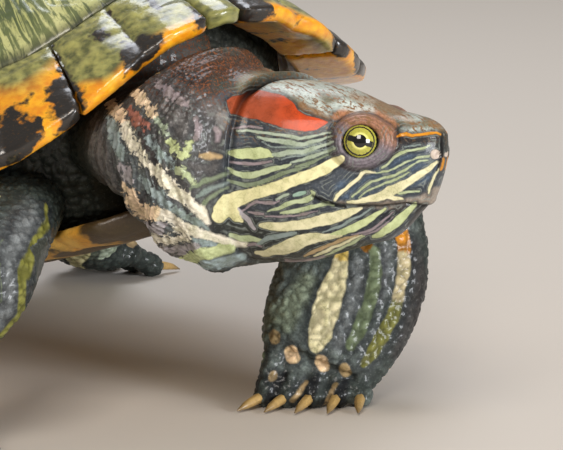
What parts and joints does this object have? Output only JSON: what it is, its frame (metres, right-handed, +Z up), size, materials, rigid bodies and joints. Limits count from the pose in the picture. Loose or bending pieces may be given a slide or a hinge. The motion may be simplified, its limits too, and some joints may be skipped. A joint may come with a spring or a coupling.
{
  "type": "red-eared slider turtle",
  "caption": "Life-size model of a standing red-eared slider turtle, shell raised at the front and head turned to its left.",
  "frame": {"origin": "on the floor, under the middle of the animal's bounding box", "axes": "+Z up, -Y ahead of the animal, +X to its left"},
  "size_m": [0.2018, 0.2754, 0.108],
  "materials": {
    "shell_green": "glossy olive-green horn with fine yellow-green streaks and dark seams",
    "shell_rim": "glossy horn, orange-yellow at the edge with black blotches",
    "plastron": "smooth yellow horn with a dark blotch on each scute",
    "skin": "scaly dark olive-grey skin with cream, yellow and pale green stripes and a red patch behind each eye",
    "eye": "wet yellow-green iris with a black pupil and bar",
    "claw": "smooth horn, dark at the root and tan at the tip"
  },
  "bodies": {
    "root": {"vertebral_1": "shell_green", "vertebral_2": "shell_green", "vertebral_3": "shell_green", "vertebral_4": "shell_green", "vertebral_5": "shell_green", "pleural_left_1": "shell_green", "pleural_left_2": "shell_green", "pleural_left_3": "shell_green", "pleural_left_4": "shell_green", "pleural_right_1": "shell_green", "pleural_right_2": "shell_green", "pleural_right_3": "shell_green", "pleural_right_4": "shell_green", "cervical": "shell_rim", "marginals_left_1_2": "shell_rim", "marginals_left_3_4": "shell_rim", "marginals_left_5_6": "shell_rim", "marginals_left_7_8": "shell_rim", "marginals_left_9_10": "shell_rim", "marginals_left_11_12": "shell_rim", "marginals_right_1_2": "shell_rim", "marginals_right_3_4": "shell_rim", "marginals_right_5_6": "shell_rim", "marginals_right_7_8": "shell_rim", "marginals_right_9_10": "shell_rim", "marginals_right_11_12": "shell_rim", "plastron_front": "plastron", "plastron_bridge": "plastron", "plastron_rear": "plastron", "trunk": "skin", "head": "skin", "lower_jaw": "skin", "neck": "skin", "tail": "skin", "leg_front_left": "skin", "leg_front_right": "skin", "leg_hind_left": "skin", "leg_hind_right": "skin", "eye_left": "eye", "eye_right": "eye", "claw_front_left_1": "claw", "claw_front_left_2": "claw", "claw_front_left_3": "claw", "claw_front_left_4": "claw", "claw_front_left_5": "claw", "claw_front_right_1": "claw", "claw_front_right_2": "claw", "claw_front_right_3": "claw", "claw_front_right_4": "claw", "claw_front_right_5": "claw", "claw_hind_left_1": "claw", "claw_hind_left_2": "claw", "claw_hind_left_3": "claw", "claw_hind_left_4": "claw", "claw_hind_right_1": "claw", "claw_hind_right_2": "claw", "claw_hind_right_3": "claw", "claw_hind_right_4": "claw"}
  },
  "joints": []
}
